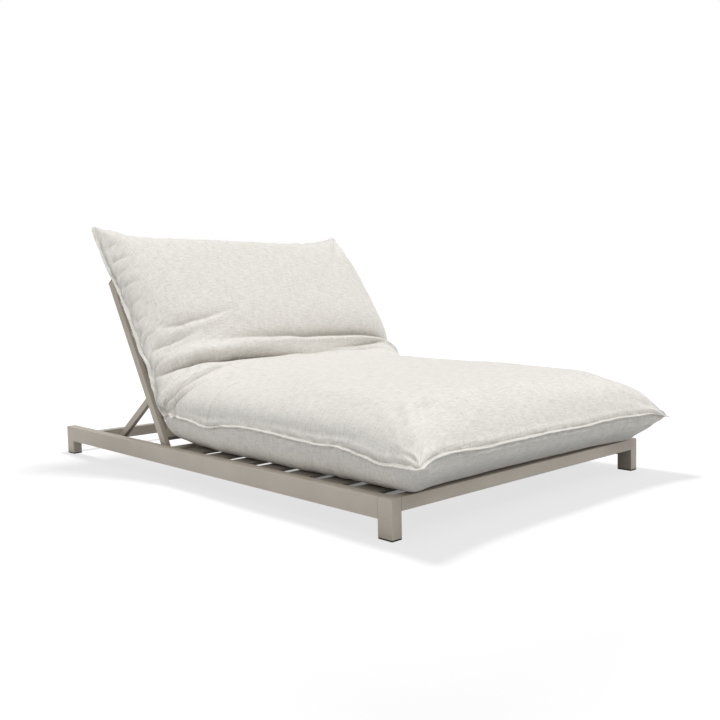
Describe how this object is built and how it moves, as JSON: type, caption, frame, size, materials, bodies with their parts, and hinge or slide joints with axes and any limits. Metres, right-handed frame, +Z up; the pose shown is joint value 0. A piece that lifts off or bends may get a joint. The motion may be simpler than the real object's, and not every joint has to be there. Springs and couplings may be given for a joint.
{
  "type": "double chaise lounger",
  "caption": "Wide low outdoor chaise lounger: tube frame on four legs, slatted deck, folding propped backrest and a thick loose mattress.",
  "frame": {"origin": "on the floor under the middle of the part's box", "axes": "+X across the lounger, +Y from the foot end to the head end, +Z up"},
  "size_m": [1.344, 2.215, 0.9952],
  "materials": {
    "frame_coat": "satin taupe powder coat over aluminium tube",
    "black_plastic": "matt black moulded nylon",
    "bolt_steel": "plain stainless steel",
    "mattress_cloth": "off-white woven outdoor linen"
  },
  "bodies": {
    "base": {"foot_pad_foot_left": "black_plastic", "foot_pad_foot_right": "black_plastic", "foot_pad_head_left": "black_plastic", "foot_pad_head_right": "black_plastic", "foot_rail": "frame_coat", "guide_plate_left": "bolt_steel", "guide_plate_right": "bolt_steel", "guide_plate_screws": "bolt_steel", "head_rail": "frame_coat", "leg_foot_left": "frame_coat", "leg_foot_right": "frame_coat", "leg_head_left": "frame_coat", "leg_head_right": "frame_coat", "pivot_bolt_left": "bolt_steel", "pivot_bolt_right": "bolt_steel", "seat_centre_beam": "frame_coat", "seat_cushion": "mattress_cloth", "seat_end_rail": "frame_coat", "seat_slat_1": "frame_coat", "seat_slat_2": "frame_coat", "seat_slat_3": "frame_coat", "seat_slat_4": "frame_coat", "seat_slat_5": "frame_coat", "seat_slat_6": "frame_coat", "seat_slat_7": "frame_coat", "seat_slat_ledge_left": "frame_coat", "seat_slat_ledge_right": "frame_coat", "side_rail_left": "frame_coat", "side_rail_right": "frame_coat"},
    "backrest": {"back_bar_left": "frame_coat", "back_bar_right": "frame_coat", "back_bottom_rail": "frame_coat", "back_centre_bar": "frame_coat", "back_cushion": "mattress_cloth", "back_slat_1": "frame_coat", "back_slat_2": "frame_coat", "back_slat_3": "frame_coat", "back_slat_4": "frame_coat", "back_slat_ledge_left": "frame_coat", "back_slat_ledge_right": "frame_coat", "back_top_rail": "frame_coat", "bar_end_caps": "black_plastic", "pivot_bush_left": "black_plastic", "pivot_bush_right": "black_plastic", "prop_bolt_left": "bolt_steel", "prop_bolt_right": "bolt_steel"},
    "prop_left": {"prop_foot_pin_left": "bolt_steel", "prop_lower_fitting_left": "black_plastic", "prop_strut_left": "frame_coat", "prop_upper_fitting_left": "black_plastic"},
    "prop_right": {"prop_foot_pin_right": "bolt_steel", "prop_lower_fitting_right": "black_plastic", "prop_strut_right": "frame_coat", "prop_upper_fitting_right": "black_plastic"}
  },
  "joints": [
    {"name": "backrest_tilt", "type": "hinge", "parent": "base", "child": "backrest", "pos_m": [0, 0.3095, 0.1035], "axis": [1, 0, 0], "range_deg": [-59.1, 0]},
    {"name": "prop_left_fold", "type": "hinge", "parent": "backrest", "child": "prop_left", "pos_m": [-0.584, 0.44133, 0.3043], "axis": [1, 0, 0], "range_deg": [0, 90.8]},
    {"name": "prop_right_fold", "type": "hinge", "parent": "backrest", "child": "prop_right", "pos_m": [0.584, 0.44133, 0.3043], "axis": [1, 0, 0], "range_deg": [0, 90.8]}
  ],
  "couplings": [
    {"joint": "prop_left_fold", "follows": "backrest_tilt", "ratio": -1.5363},
    {"joint": "prop_right_fold", "follows": "backrest_tilt", "ratio": -1.5363}
  ]
}
